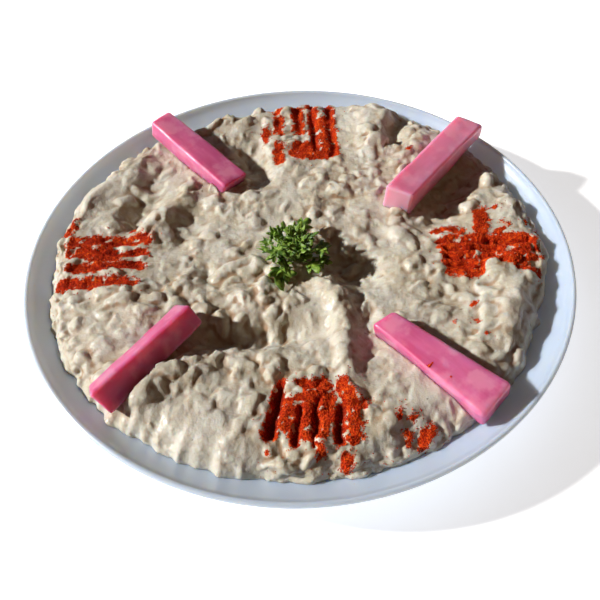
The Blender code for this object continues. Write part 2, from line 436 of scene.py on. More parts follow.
def wander(x, y, size, seed):
    """Gradient noise from about -1 to 1 over arrays of places, with features of this size."""
    slopes = np.random.default_rng(seed).uniform(0, 2 * math.pi, (256, 256))
    u, v = x / size + 500, y / size + 500
    i, j = np.floor(u).astype(int), np.floor(v).astype(int)
    s, t = u - i, v - j

    def corner(di, dj):
        slope = slopes[(i + di) % 256, (j + dj) % 256]
        return np.cos(slope) * (s - di) + np.sin(slope) * (t - dj)

    near = corner(0, 0) + ease(s) * (corner(1, 0) - corner(0, 0))
    far = corner(0, 1) + ease(s) * (corner(1, 1) - corner(0, 1))
    return 1.6 * (near + ease(t) * (far - near))


CELL = 0.4  # spacing of the grid that the lumps are piled on
HALF_CELLS = 296


def grid_places():
    """x and y of every point of the grid."""
    steps = (np.arange(2 * HALF_CELLS + 1) - HALF_CELLS) * CELL
    return np.meshgrid(steps, steps, indexing="ij")


def heap(relief, lumps):
    """Piles oval caps (x, y, half length, half width, rise, turn, bend, seat) on the relief.

    One with a negative rise is scooped out instead.
    """
    for x, y, half_length, half_width, rise, turn, bend, seat in lumps:
        i, j = int(round(x / CELL)) + HALF_CELLS, int(round(y / CELL)) + HALF_CELLS
        reach = int(half_length / CELL) + 2
        i0, i1 = max(i - reach, 0), min(i + reach + 1, relief.shape[0])
        j0, j1 = max(j - reach, 0), min(j + reach + 1, relief.shape[1])
        if i0 >= i1 or j0 >= j1:
            continue
        dx = (np.arange(i0, i1)[:, None] - HALF_CELLS) * CELL - x
        dy = (np.arange(j0, j1)[None, :] - HALF_CELLS) * CELL - y
        along = dx * math.cos(turn) + dy * math.sin(turn)
        across = dy * math.cos(turn) - dx * math.sin(turn) + bend * along**2
        inside = np.maximum(1 - (along / half_length) ** 2 - (across / half_width) ** 2, 0)
        middle = relief[min(max(i, 0), relief.shape[0] - 1), min(max(j, 0), relief.shape[1] - 1)]
        shape = seat * middle + rise * inside**0.7
        here = relief[i0:i1, j0:j1]
        pile = np.maximum if rise > 0 else np.minimum
        relief[i0:i1, j0:j1] = np.where(inside > 0, pile(here, shape), here)


def soften(field, passes):
    """Blurs a grid a little, by averaging each point with its neighbours."""
    for _ in range(passes):
        for axis in (0, 1):
            field = (np.roll(field, 1, axis) + 2 * field + np.roll(field, -1, axis)) / 4
    return field


def look_up(field, x, y):
    """Values of a grid at any places, blended between its points."""
    u = np.clip(x / CELL + HALF_CELLS, 0, field.shape[0] - 1.001)
    v = np.clip(y / CELL + HALF_CELLS, 0, field.shape[1] - 1.001)
    i, j = u.astype(int), v.astype(int)
    s, t = u - i, v - j
    near = field[i, j] * (1 - s) + field[i + 1, j] * s
    far = field[i, j + 1] * (1 - s) + field[i + 1, j + 1] * s
    return near * (1 - t) + far * t


# %% [markdown]
# ## The batons of pickled turnip
#
# Each baton is hand cut, so it tapers, its ends are aslant, and its faces are not quite
# flat. It starts as a cube whose surface is a grid. Each point is pulled out to the
# baton's size, its edges are rounded, and the faces are waved a little. The batons come
# before the paste, because the paste has to make room for them.

# %% Baton shape
BATONS = {
    "back_left": {
        "inner": (-26.5, 41.0, 25.2),
        "outer": (-61.4, 78.5, 31.7),
        "widths": (13.6, 11.6),
        "heights": (9.3, 9.5),
        "roll": 1,
        "slants": (0.2, -0.5),
        "leans": (-1.1, -0.5),
    },
    "back_right": {
        "inner": (42.0, 22.6, 29.9),
        "outer": (79.6, 69.2, 31.0),
        "widths": (12.2, 12.4),
        "heights": (12.6, 9.0),
        "roll": 6,
        "slants": (-1.5, -1.2),
        "leans": (0.2, -1.5),
    },
    "front_left": {
        "inner": (-41.1, -33.2, 30.1),
        "outer": (-71.5, -68.6, 26.6),
        "widths": (11.9, 9.7),
        "heights": (9.8, 11.3),
        "roll": 40,
        "slants": (0.1, 1.9),
        "leans": (0.1, 0.6),
    },
    "front_right": {
        "inner": (30.9, -38.5, 26.3),
        "outer": (66.9, -75.5, 25.2),
        "widths": (9.6, 16.3),
        "heights": (10.6, 9.5),
        "roll": 14,
        "slants": (1.3, 0.0),
        "leans": (0.0, 0.0),
    },
}
BATON_CUTS = 31
BATON_EDGE = 1.6


def cube_grid(cuts):
    """A cube from -1 to 1 whose faces are cut into a grid."""
    bm = bmesh.new()
    bmesh.ops.create_cube(bm, size=2)
    bmesh.ops.subdivide_edges(bm, edges=list(bm.edges), cuts=cuts, use_grid_fill=True)
    points = np.array([v.co for v in bm.verts])
    faces = [[v.index for v in f.verts] for f in bm.faces]
    bm.free()
    return points, faces


def baton_points(cube, length, widths, heights, slants, leans, seed):
    """Shapes the cube's points into one baton, lying along X about its middle."""
    u = (cube[:, 0] + np.sin(cube[:, 0] * math.pi / 2)) / 2
    v, w = np.sin(cube[:, 1] * math.pi / 2), np.sin(cube[:, 2] * math.pi / 2)
    share = (u + 1) / 2
    half = np.stack([
        np.full(len(u), length / 2),
        (widths[0] + (widths[1] - widths[0]) * share) / 2,
        (heights[0] + (heights[1] - heights[0]) * share) / 2,
    ], axis=1)
    points = np.stack([u, v, w], axis=1) * half
    core = np.clip(points, BATON_EDGE - half, half - BATON_EDGE)
    outward = points - core
    outward /= np.maximum(np.linalg.norm(outward, axis=1, keepdims=True), 1e-6)
    points = core + BATON_EDGE * outward
    for across, cuts in ((v, slants), (w, leans)):
        points[:, 0] += (cuts[0] + (cuts[1] - cuts[0]) * share) * across * np.abs(u) ** 6
    # Knife marks: each face is a little hollow here and proud there.
    waves = [
        0.45 * noise.noise(Vector(p) / 11 + Vector((seed, 0, 0))) + 0.12 * noise.noise(Vector(p) / 3.5)
        for p in points
    ]
    return points + outward * (np.array(waves) - 0.1)[:, None]


def baton_place(inner, outer, roll):
    """Matrix that lays a baton between the middles of its two ends."""
    start, end = Vector(inner), Vector(outer)
    run = end - start
    turn = Matrix.Rotation(math.atan2(run.y, run.x), 4, "Z")
    pitch = Matrix.Rotation(-math.asin(run.z / run.length), 4, "Y")
    return Matrix.Translation((start + end) / 2 * MM) @ turn @ pitch @ Matrix.Rotation(math.radians(roll), 4, "X")


batons = {}
cube, cube_faces = cube_grid(BATON_CUTS)
for seed, (name, shape) in enumerate(BATONS.items(), start=21):
    length = (Vector(shape["outer"]) - Vector(shape["inner"])).length
    sizes = [shape[key] for key in ("widths", "heights", "slants", "leans")]
    points = baton_points(cube, length, *sizes, seed)
    place = baton_place(shape["inner"], shape["outer"], shape["roll"])
    batons[name] = make_piece("pickled_turnip_" + name, points, cube_faces, place)
    # Painted light: the back right baton is paler all over, for light on its top, and paler still on its sunlit
    # inner end face.
    light = 0.35 + 0.6 * (cube[:, 0] < -0.999) if name == "back_right" else np.zeros(len(cube))
    add_attribute(batons[name], "pale", light)

# %% [markdown]
# Turnip pickled with beetroot is a wet, cloudy pink. It lets some light in, so it glows
# a little where it is thin, and its fibres and the uneven dye show as soft mottling that
# runs along the baton. The back right baton is painted paler all over and paler still on
# its inner end, as painted light.

# %% Pickle finish
pickle = Finish("pickled_turnip")
along = pickle.stretch((0.35, 1.0, 1.0))
cloud = pickle.noise(7, detail=3, where=along)
fibre = pickle.noise(1.4, detail=2, where=pickle.stretch((0.12, 1.0, 1.0)))
pale = pickle.rise(pickle.noise(8, detail=3), 0.46, 0.66)
dye = pickle.mix(pickle.rise(cloud, 0.35, 0.65), (0.575, 0.075, 0.225), (0.69, 0.145, 0.345))
dye = pickle.mix(fibre * 0.35, dye, (0.86, 0.28, 0.47))
dye = pickle.mix(pale * 0.45, dye, (0.87, 0.42, 0.57))
# Painted light: the stored share makes the back right baton, and most of all its inner end, paler.
dye = pickle.mix(pickle.attribute("pale"), dye, (0.98, 0.46, 0.60))
pickle.set(
    Base_Color=dye,
    Roughness=0.34 + 0.18 * cloud,
    Subsurface_Weight=1.0,
    Subsurface_Radius=(1.0, 0.15, 0.24),
    Subsurface_Scale=8 * MM,
    Coat_Weight=0.2,
    Coat_Roughness=0.16,
    Normal=pickle.bump(fibre, 0.02, pickle.bump(cloud, 0.12)),
)
for name, baton in batons.items():
    settle(baton, "pickle", pickle.material, "baton_" + name)

# %% [markdown]
# ## The paste: its lie on the plate
#
# The paste was spread with a spoon, which left ridges and hollows about a finger wide.
# Each is an oval swell added to a level bed. The edge of the paste wavers round the
# plate and rounds over steeply where it meets the glaze.

# %% Lie of the paste
PASTE_EDGE_RADII = (101, 101, 103, 103, 100, 97.5, 99.5, 101.5, 100.5, 100.5, 99, 98.5, 96.5, 97, 97.5, 97)
PASTE_LEVEL = 25.0
SHOULDER = 9.0  # width of the rounded edge
FRONT_SHOULDER = 7.0  # added to it at the very front, where the paste thins out more gently
EDGE_DROP = 17.0  # how far the top falls over that width, for spacing points and lumps on it

# (x, y, rise, half length, half width, heading in degrees)
SPOONWORK = (
    # back left
    (-90, 36, 2.6, 15, 7, 65),  # crest along the edge
    (-74, 52, 3.4, 15, 7, 60),  # the same crest, beside the baton
    (-66, 30, -4.6, 17, 6, 72),  # valley below that crest
    (-55, 26, 2.8, 14, 5, 55),  # finger across the valley
    (-46, 16, -3.0, 15, 6, 62),  # hollow behind the finger
    (-33, 87, 2.4, 7, 6, 20),  # heap at the back
    (-24, 80, 2.2, 6, 5, 60),
    (-19, 58, -5.6, 16, 8, -70),  # dip in front of it
    # back right
    (36, 80, 4.2, 20, 9, 82),  # broad heap
    (48, 77, -3.6, 12, 5, 72),  # notch beside it
    (47, 91, 2.0, 5, 5, 0),
    (54, 64, 3.0, 11, 5, 50),  # bank along the baton
    (67, 33, -7.4, 20, 9, 50),  # hollow in front of the baton
    (74, 30, 3.6, 9, 4.5, 80),  # lumps beyond the hollow
    (83, 41, 3.0, 6, 4, 60),
    (90, 25, 1.8, 9, 6, 70),
    (99, 4, 1.6, 9, 5, 90),
    # front right
    (82, -32, 4.2, 22, 8, 80),  # long smooth ridge
    (79, -14, 2.2, 5, 4, 70),  # its peak
    (62, -24, -1.4, 12, 9, 0),  # saddle inside it
    (39, -86, -3.0, 13, 8, 20),  # thin place
    (28, -84, 1.8, 8, 5, 60),
    # front
    (13, -22, 4.0, 10, 5, -55),  # fold in front of the middle
    (16, -44, 3.2, 18, 4.5, -86),
    (25, -34, -2.0, 13, 4, -80),  # step down beside the fold
    (26, -53, -1.4, 10, 5, 85),
    (-10, -28, 1.4, 16, 12, 0),
    # front left
    (-54, -61, 4.4, 12, 7, 50),  # mound against the baton
    (-57, -74, 3.0, 8, 6, 80),
    (-39, -57, 2.6, 8, 6, 10),
    (-17, -39, -8.0, 27, 6, 2),  # hollow behind that mound
    (-34, -82, 1.6, 20, 9, -22),
    (-66, -24, 3.0, 17, 12, -60),  # swell on the left
    # middle
    (21, -6, -7.4, 14, 9, -50),  # hollow beside the parsley
    (34, 9, -1.8, 9, 4, -60),
    (-36, -10, -2.4, 7, 3, 88),
)

def edge_radius(turn):
    """Radius of the paste's edge, with the small lobes that lumps make along it."""
    count = len(PASTE_EDGE_RADII)
    place = turn / (2 * math.pi) % 1 * count
    k = place.astype(int) % count
    radii = np.array(PASTE_EDGE_RADII)
    between = (1 - np.cos(math.pi * (place - k))) / 2
    radius = radii[k] + between * (radii[(k + 1) % count] - radii[k])
    x, y = 100 * np.cos(turn), 100 * np.sin(turn)
    return radius + 1.3 * wander(x, y, 8, 31) + 0.8 * wander(x, y, 3.6, 32)


def spoonwork(x, y):
    """Sum of the swells and hollows left by the spoon."""
    total = np.zeros_like(x)
    for cx, cy, rise, half_length, half_width, heading in SPOONWORK:
        turn = math.radians(heading)
        along = (x - cx) * math.cos(turn) + (y - cy) * math.sin(turn)
        across = (y - cy) * math.cos(turn) - (x - cx) * math.sin(turn)
        total += rise * np.exp(-(((along / half_length) ** 2 + (across / half_width) ** 2) ** 1.3))
    return total


# %% [markdown]
# ## Fork marks in paprika
#
# A fork was dipped in paprika and pressed into the paste at the four quarters. Each
# press leaves a few parallel furrows, and the powder clings in and around them. A press
# is a heading with a list of furrows across it, and the same numbers drive the furrows,
# the stain on the paste and the loose grains.

# %% Fork marks
# (x, y, heading in degrees, half length, half width, depth)
FURROWS = (
    # left
    (-78, 10.8, 2, 17.8, 3.5, 1.0), (-84, 4.6, 1, 11.5, 3.5, 1.0), (-72, 3.9, 2, 11.5, 2.4, 1.2),
    (-78, 1.0, 0, 7, 2.4, 0.4), (-78, -3.2, 1, 16.5, 3.0, 1.2), (-80, -12.6, -3, 17.5, 3.3, 1.2),
    (-94.5, 18.5, 62, 5, 2.1, 0), (-69, 18.3, 90, 2, 1.2, 0), (-101, -22, 60, 1.6, 1.0, 0),
    # back
    (-13, 76, 90, 6, 2.2, 0), (-7, 84, 92, 10, 2.6, 0.7), (-7.5, 62, 90, 7, 2.5, 0.7),
    (2, 84, 92, 11, 3.0, 1.2), (9.3, 80, 92, 19, 2.8, 1.4), (17, 78, 91, 21, 2.8, 1.4),
    (9, 63, 0, 12, 6.0, 0.5), (13, 75, 90, 12, 3.5, 0),
    # right
    (77, -2, -3, 20.5, 9.5, 0), (66, -9.5, -3, 9.5, 6.5, 0), (62.5, 9.8, 0, 7.5, 2.2, 0.5),
    (68, 3.6, -3, 12, 1.9, 1.7), (70, -1.2, -3, 12, 1.9, 1.7), (69, -5.6, -3, 12, 1.9, 1.7),
    (67, -10.0, -2, 10, 1.9, 1.5), (88, 2.0, -4, 9, 2.0, 1.4), (88, -3.4, -4, 9, 2.0, 1.4),
    (76.5, 14.5, 84, 8.5, 3.4, 0), (84, 10.0, 60, 5, 2.4, 0), (90, -14.0, -10, 6, 1.8, 0.3),
    # front
    (1, -74.5, 82, 13, 10.5, 0), (-10, -74, 76, 13, 3.0, 2.8), (-2.4, -80, 80, 9.5, 1.9, 2.0),
    (4.2, -78.5, 84, 10.5, 2.1, 2.2), (12.4, -79.5, 86, 9, 2.9, 2.8), (6, -73.5, 84, 13, 4.0, 0),
    (15, -68, -70, 7, 3.2, 0), (17, -79, 92, 9, 3.0, 0), (18.5, -74, 20, 4.5, 2.2, 0),
    (4.5, -90, 90, 3, 1.6, 0), (14, -92.5, 60, 3, 2.4, 0), (-13, -89, 70, 1.5, 1.0, 0),
    (33, -77.5, 60, 2.2, 1.7, 0), (38, -77.5, 30, 2.6, 1.7, 0), (35.5, -85, 80, 3, 1.6, 0),
    (41.5, -83.5, 45, 4.5, 2.2, 0), (40, -92.5, 35, 4.5, 0.9, 0), (27, -95, -70, 2, 1.1, 0),
    # strays
    (66, -30, 20, 1.6, 0.8, 0), (64, -36, 40, 0.9, 0.5, 0), (66, -38, -60, 0.9, 0.6, 0),
    (57, -38, 10, 1.3, 0.6, 0), (68, -45, 40, 0.8, 0.5, 0), (52, 60, 40, 2.2, 1.1, 0),
    (83, 22, 20, 1.6, 0.8, 0), (95, 13, 60, 2.0, 0.9, 0), (99, 9, 80, 2.4, 0.9, 0),
)
# (x, y, half length, half width): places that the powder missed.
BARE_SPOTS = (
    (-71, 7.0, 5, 0.8), (-68, 0.6, 5, 0.8), (-91, 0.4, 2.5, 1.2), (2, 72.5, 2.5, 2.6),
    (-4, -66, 3, 2.5),
    (95, -4.6, 2.2, 1.3), (93, -10, 1.8, 1.0), (79, -14.5, 4, 3.6),
)


def capsule(x, y, mark):
    """Distance from a mark's own line, in plan."""
    cx, cy, heading, half_length, half_width, _ = mark
    turn = math.radians(heading)
    along = (x - cx) * math.cos(turn) + (y - cy) * math.sin(turn)
    across = (y - cy) * math.cos(turn) - (x - cx) * math.sin(turn)
    return np.hypot(across, np.maximum(np.abs(along) - half_length + half_width, 0))


def furrow_depth(x, y):
    """How far the fork has pressed in at each place, in millimetres."""
    deepest = np.zeros_like(x)
    sway = 0.7 * wander(x, y, 7, 41)
    for mark in FURROWS:
        if mark[5] > 0:
            inside = ease((mark[4] - capsule(x + sway, y + sway, mark)) / mark[4])
            deepest = np.maximum(deepest, mark[5] * inside)
    return deepest


def powder(x, y, spread, ragged):
    """How thickly the paprika lies, from 0 to 1. Spread widens the marks, in millimetres."""
    cover = np.zeros_like(x)
    fringe = ragged * (0.9 * wander(x, y, 3.4, 42) + 1.1 * wander(x, y, 1.5, 43))
    for mark in FURROWS:
        cover = np.maximum(cover, ease((mark[4] + spread - fringe - capsule(x, y, mark)) / 1.6))
    for cx, cy, half_length, half_width in BARE_SPOTS:
        away = np.hypot((x - cx) / (half_length + 0.6), (y - cy) / (half_width + 0.6)) + 0.2 * fringe
        cover *= ease((away - 0.7) / 0.5)
    gaps = wander(x, y, 2.6, 44) + 0.6 * wander(x, y, 1.3, 45) + 0.5 * wander(x, y, 8, 46)
    return cover * (1 - 0.9 * ease((gaps - 0.36) / 0.35))


# %% [markdown]
# ## The paste: its grain
#
# Up close the paste is a heap of soft lumps and shreds, from rice-sized ones up to some
# as big as a bean, and smoother where the back of the spoon passed. The lumps are piled
# from large to small, so that small ones sit on the large ones.

# %% Pile up the lumps
# (x, y, radius, change): places that the spoon left smoother or rougher.
SPOONED_PLACES = (
    (82, -32, 13, -0.45), (-86, 42, 11, -0.45), (60, -42, 12, -0.35), (-40, -80, 24, -0.4),
    (28, 82, 14, -0.45), (45, -70, 12, -0.45), (8, -42, 14, -0.4), (66, 60, 8, -0.45),
    (46, -8, 17, 0.3), (-38, -14, 20, 0.35), (0, 40, 22, -0.2), (-60, 42, 12, -0.3),
    (41, 11, 8, -0.5), (-89, -1, 9, -0.6), (-28, -76, 16, -0.15),
)
# (how many, half lengths, width as a share of the length, rise as a share of the width, seat)
LUMP_SIZES = (
    (620, (2.4, 5.2), (0.45, 0.8), 0.66, 0.4),
    (140, (1.6, 3.6), (0.25, 0.4), -0.9, 0.6),
    (2650, (1.6, 3.4), (0.4, 0.8), 0.54, 0.7),
    (5800, (0.9, 1.9), (0.35, 0.7), 0.34, 0.9),
)

grid_x, grid_y = grid_places()


def coarseness(x, y):
    """1 where the paste is rough and less where it is smooth."""
    rough = 0.92 + 0.35 * wander(x, y, 26, 51)
    for cx, cy, radius, change in SPOONED_PLACES:
        rough += change * np.exp(-((x - cx) ** 2 + (y - cy) ** 2) / radius**2)
    return np.clip(rough, 0.2, 1.4)


def scatter_lumps(count, lengths, slenderness, rise, seat, dice):
    """Random lumps over the plate, lying roughly along slow swirls."""
    x, y = dice.uniform(-118, 118, (2, count))
    half_length = dice.uniform(*lengths, count)
    half_width = half_length * dice.uniform(*slenderness, count)
    rises = rise * half_width * dice.uniform(0.6, 1.25, count) * coarseness(x, y)
    turn = 2.6 * wander(x, y, 30, 52) + dice.normal(0.8, 0.7, count)
    bend = dice.uniform(-0.25, 0.25, count) / half_length
    return zip(x, y, half_length, half_width, rises, turn, bend, np.full(count, seat))


dice = np.random.default_rng(5)
relief = np.zeros_like(grid_x)
for sizes in LUMP_SIZES:
    heap(relief, scatter_lumps(*sizes, dice))
relief = soften(relief, 3)
crease = np.clip((soften(relief, 20) - relief) / 0.6, -1, 1)
print(f"relief: {relief.mean():.2f} mm on average, {relief.max():.2f} mm at most")

# %% [markdown]
# ## The paste: its mesh
#
# A square grid wrapped onto a disc keeps its cells nearly the same size, which a fan of
# rings would not. Each point is lifted to the paste's body, and the lumps push it out
# square to that body and a little sideways, so that they also stand out from the steep
# edge and some overhang their neighbours. Last, it is pressed down under the batons.

# %% Paste mesh
PASTE_CELLS = 300
SOLE_GAP = 0.05
EDGE_THICKNESS = 0.7
SHOULDER_POWERS = (2.1, 0.66)
RELIEF_GAIN = 1.1


def disc_grid(cells):
    """A square grid wrapped onto the unit disc, as two arrays."""
    u, v = np.meshgrid(np.linspace(-1, 1, cells + 1), np.linspace(-1, 1, cells + 1), indexing="ij")
    wide = np.abs(u) >= np.abs(v)
    radius = np.where(wide, u, v)
    ratio = np.where(wide, v, u) / np.where(radius == 0, 1, radius)
    turn = np.where(wide, math.pi / 4 * ratio, math.pi / 2 - math.pi / 4 * ratio)
    return radius * np.cos(turn), radius * np.sin(turn)


def shoulder_width(x, y):
    """Width of the paste's rounded edge in this direction."""
    return SHOULDER + FRONT_SHOULDER * ease(-1.5 * y / np.maximum(np.hypot(x, y), 1e-9))


def shoulder(share):
    """Height across the rounded edge: 1 where it starts, at share 0, and 0 on the plate, at share 1."""
    outer, inner = SHOULDER_POWERS
    return (1 - np.clip(share, 0, 1) ** outer) ** inner


def paste_body(x, y, edge):
    """Height of the paste without its lumps, rounded down to the edge on the plate."""
    share = 1 - (edge - np.hypot(x, y)) / shoulder_width(x, y)
    foot = inside_level(edge) + EDGE_THICKNESS * (1 + 0.6 * wander(x, y, 3, 33))
    body = PASTE_LEVEL + spoonwork(x, y) + 0.9 * wander(x, y, 12, 61) - furrow_depth(x, y)
    return foot + (body - foot) * shoulder(share)


# Lengths measured down the slope, from where it starts to each share of its width.
SHARES = np.linspace(0, 1, 400)
SLOPE = np.append(0, np.cumsum(np.hypot(
    np.diff(SHARES) * (SHOULDER + FRONT_SHOULDER / 2), np.diff(shoulder(SHARES)) * EDGE_DROP
)))


def unroll(x, y, edge):
    """Lays the slope flat, so that lumps aren't stretched there."""
    radius = np.maximum(np.hypot(x, y), 1e-9)
    width = shoulder_width(x, y)
    share = 1 - (edge - radius) / width
    longer = np.where(share > 0, np.interp(share, SHARES, SLOPE) - share * width, 0)
    return x * (1 + longer / radius), y * (1 + longer / radius)


def roll_up(x, y, edge):
    """The other way round: takes places on a unit disc to the paste, evenly down the slope as well."""
    reach = np.hypot(x, y)
    width = shoulder_width(x, y)
    start = edge - width
    flat = reach * (start + SLOPE[-1])
    radius = np.where(flat < start, flat, start + width * np.interp(flat - start, SLOPE, SHARES))
    return x * radius / np.maximum(reach, 1e-9), y * radius / np.maximum(reach, 1e-9)


def lump_height(x, y):
    """The relief, with its ovals bent out of shape, and a fine grain."""
    bent_x = x + 1.5 * wander(x, y, 5.5, 65) + 0.6 * wander(x, y, 2.2, 67)
    bent_y = y + 1.5 * wander(x, y, 5.5, 66) + 0.6 * wander(x, y, 2.2, 68)
    return RELIEF_GAIN * (look_up(relief, bent_x, bent_y) - relief.mean()) + 0.08 * wander(x, y, 1.4, 62)


def grid_normals(grid):
    """Unit normals of a grid of points."""
    normals = np.cross(np.gradient(grid, axis=0), np.gradient(grid, axis=1))
    return normals / np.linalg.norm(normals, axis=-1, keepdims=True)


def press_under(x, y, z, pieces, clearance):
    """Lowers the surface to just below each piece that stands over it."""
    for piece in pieces:
        place = piece.matrix_world
        bm = bmesh.new()
        bm.from_mesh(piece.data)
        bm.transform(place)
        tree = BVHTree.FromBMesh(bm)
        low = np.min([v.co[:] for v in bm.verts], axis=0) / MM
        high = np.max([v.co[:] for v in bm.verts], axis=0) / MM
        bm.free()
        near = (x > low[0]) & (x < high[0]) & (y > low[1]) & (y < high[1])
        for k in zip(*np.nonzero(near)):
            hit = tree.ray_cast(Vector((x[k], y[k], 0)) * MM, Vector((0, 0, 1)))[0]
            if hit is not None:
                z[k] = min(z[k], hit.z / MM - clearance)


disc_x, disc_y = disc_grid(PASTE_CELLS)
edge = edge_radius(np.arctan2(disc_y, disc_x))
paste_x, paste_y = roll_up(disc_x, disc_y, edge)
base = np.stack([paste_x, paste_y, paste_body(paste_x, paste_y, edge)], axis=-1)
inland = ease((edge - np.hypot(paste_x, paste_y)) / 2.5)
lumps = lump_height(*unroll(paste_x, paste_y, edge)) * (0.6 + 0.4 * inland)
lumps *= 1 - 0.3 * powder(paste_x, paste_y, 0.5, 0.3)
lean = np.stack([wander(paste_x, paste_y, 11, seed) for seed in (63, 64)] + [np.zeros_like(lumps)], axis=-1)
top = base + (grid_normals(base) + 0.35 * inland[..., None] * lean) * lumps[..., None]
press_under(top[..., 0], top[..., 1], top[..., 2], batons.values(), 0.15)
floor_here = inside_level(np.hypot(top[..., 0], top[..., 1])) + SOLE_GAP
top[..., 2] = np.maximum(top[..., 2], floor_here)

def grid_faces(cells):
    """Quads of a square grid of points, facing up."""
    index = np.arange((cells + 1) ** 2).reshape(cells + 1, cells + 1)
    corners = (index[:-1, :-1], index[1:, :-1], index[1:, 1:], index[:-1, 1:])
    return np.stack([c.ravel() for c in corners], axis=1)


def grid_rim(cells):
    """Indices of the grid's outer points, in order round it."""
    index = np.arange((cells + 1) ** 2).reshape(cells + 1, cells + 1)
    return np.concatenate([index[:-1, 0], index[-1, :-1], index[:0:-1, -1], index[0, :0:-1]])


def paste_mesh():
    """The top with a sole under it that follows the plate down to the well."""
    points = [top.reshape(-1, 3)]
    faces = [grid_faces(PASTE_CELLS)]
    outer = grid_rim(PASTE_CELLS)
    turns = np.arctan2(points[0][outer, 1], points[0][outer, 0])
    radii = np.hypot(points[0][outer, 0], points[0][outer, 1])
    count, start = len(outer), len(points[0])
    for share in (1.0, 0.9, 0.75, WELL_RADIUS / 100):
        radius = radii * share
        ring = np.stack([
            radius * np.cos(turns), radius * np.sin(turns), inside_level(radius) + SOLE_GAP / 2
        ], axis=1)
        points.append(ring)
        inner = start + np.arange(count)
        faces.append(np.stack([outer, inner, np.roll(inner, -1), np.roll(outer, -1)], axis=1))
        outer, start = inner, start + count
    points.append([[0, 0, WELL_FLOOR + SOLE_GAP / 2]])
    fan = [(start, b, a) for a, b in zip(outer, np.roll(outer, -1))]
    return np.concatenate(points), [f for block in faces for f in block] + fan


paste = make_piece("paste", *paste_mesh())

# %% [markdown]
# The material reads five numbers stored on the mesh: how deep in a crease a point is,
# how much paprika lies on it, how far the fork pressed it, how much pink brine stain and
# painted red light bounced from the batons lie on it, and how coarse the paste is there.
# The crease and the furrow depth also paint shade into the colour.

# %% What stains the paste
flat_x, flat_y = paste_x.ravel(), paste_y.ravel()
spare = len(paste.data.vertices) - len(flat_x)


def on_paste(values):
    """Pads values of the top with zeros for the sole."""
    return np.concatenate([np.ravel(values), np.zeros(spare)])


paprika_here = powder(flat_x, flat_y, 0.2, 1.0)
brine_here = np.zeros_like(flat_x)
BRINE_SHIFT = 2.0  # the pink reaches further on the right of each baton, its shaded side, as painted red bounce light
for shape in BATONS.values():
    start, end = np.array(shape["inner"][:2]), np.array(shape["outer"][:2])
    run = end - start
    share = np.clip(((flat_x - start[0]) * run[0] + (flat_y - start[1]) * run[1]) / (run @ run), 0.3, 0.92)
    away = np.hypot(flat_x - BRINE_SHIFT - start[0] - share * run[0], flat_y - start[1] - share * run[1])
    brine_here = np.maximum(brine_here, ease((7.5 - away) / 2.5 + 0.5 * wander(flat_x, flat_y, 5, 72)))
crease_here = look_up(crease, *unroll(paste_x, paste_y, edge)) - 0.5 * (1 - inland)
add_attribute(paste, "crease", on_paste(crease_here))
add_attribute(paste, "paprika", on_paste(np.clip(paprika_here, 0, 1)))
add_attribute(paste, "brine", on_paste(brine_here))
add_attribute(paste, "furrow", on_paste(furrow_depth(flat_x, flat_y)))
add_attribute(paste, "coarse", on_paste(coarseness(flat_x, flat_y)))
print(f"paprika covers {100 * (paprika_here > 0.5).mean():.1f} % of the paste")

# %% [markdown]
# The paste itself is cream with browner flesh. Its creases are painted darker and
# browner, partly as painted shade and partly for the flesh there. It is moist enough to
# glint on each lump, and cloudy enough to let light in. Fine noise breaks up every edge
# between the stains.

# %% Paste finish
dip = Finish("aubergine_paste")
crease_mask = dip.attribute("crease")
flesh = dip.noise(9, detail=3, roughness=0.6)
shreds = dip.noise(2.2, detail=3, roughness=0.6)
cream = dip.mix(dip.rise(flesh, 0.35, 0.68), (0.555, 0.505, 0.385), (0.68, 0.66, 0.57))
cream = dip.mix(dip.rise(shreds, 0.54, 0.72) * 0.42, cream, (0.42, 0.31, 0.19))
milky = dip.rise(dip.noise(1.3, detail=3, roughness=0.65), 0.52, 0.68)
cream = dip.mix(milky * 0.5, cream, (0.67, 0.66, 0.605))
cream = dip.mix((1 - dip.rise(dip.attribute("coarse"), 0.35, 0.95)) * 0.5, cream, (0.71, 0.685, 0.61))
# Painted shade together with browner flesh: the deeper a crease, the darker and browner the cream.
cream = dip.mix(dip.rise(crease_mask, -0.1, 0.75) * 0.8, cream, (0.31, 0.155, 0.058))
specks = dip.rise(dip.noise(1.6, detail=1), 0.76, 0.80)
cream = dip.mix(specks * 0.6, cream, (0.16, 0.10, 0.05))
# Pink near each baton, mostly on its shaded right side: brine stain, and painted red light bounced from the
# baton.
pink = dip.rise(dip.attribute("brine") + 0.5 * shreds, 0.45, 1.2)
cream = dip.mix(pink * 0.13, cream, (0.46, 0.14, 0.085))
cream = dip.mix(dip.rise(dip.attribute("paprika"), 0.02, 0.5) * 0.6, cream, (0.66, 0.19, 0.055))
cover = dip.rise(dip.attribute("paprika") + 0.7 * dip.noise(1.1, detail=2) - 0.35, 0.27, 0.55)
SPICE_STOPS = ((0.0, (0.16, 0.006, 0.001)), (0.45, (0.64, 0.033, 0.002)), (1.0, (0.93, 0.140, 0.012)))
clumps = dip.rise(0.6 * dip.noise(1.5, detail=3, roughness=0.7) + 0.4 * dip.noise(5), 0.34, 0.66)
spice = dip.node("ShaderNodeValToRGB", {"stops": SPICE_STOPS}, {"Fac": clumps})
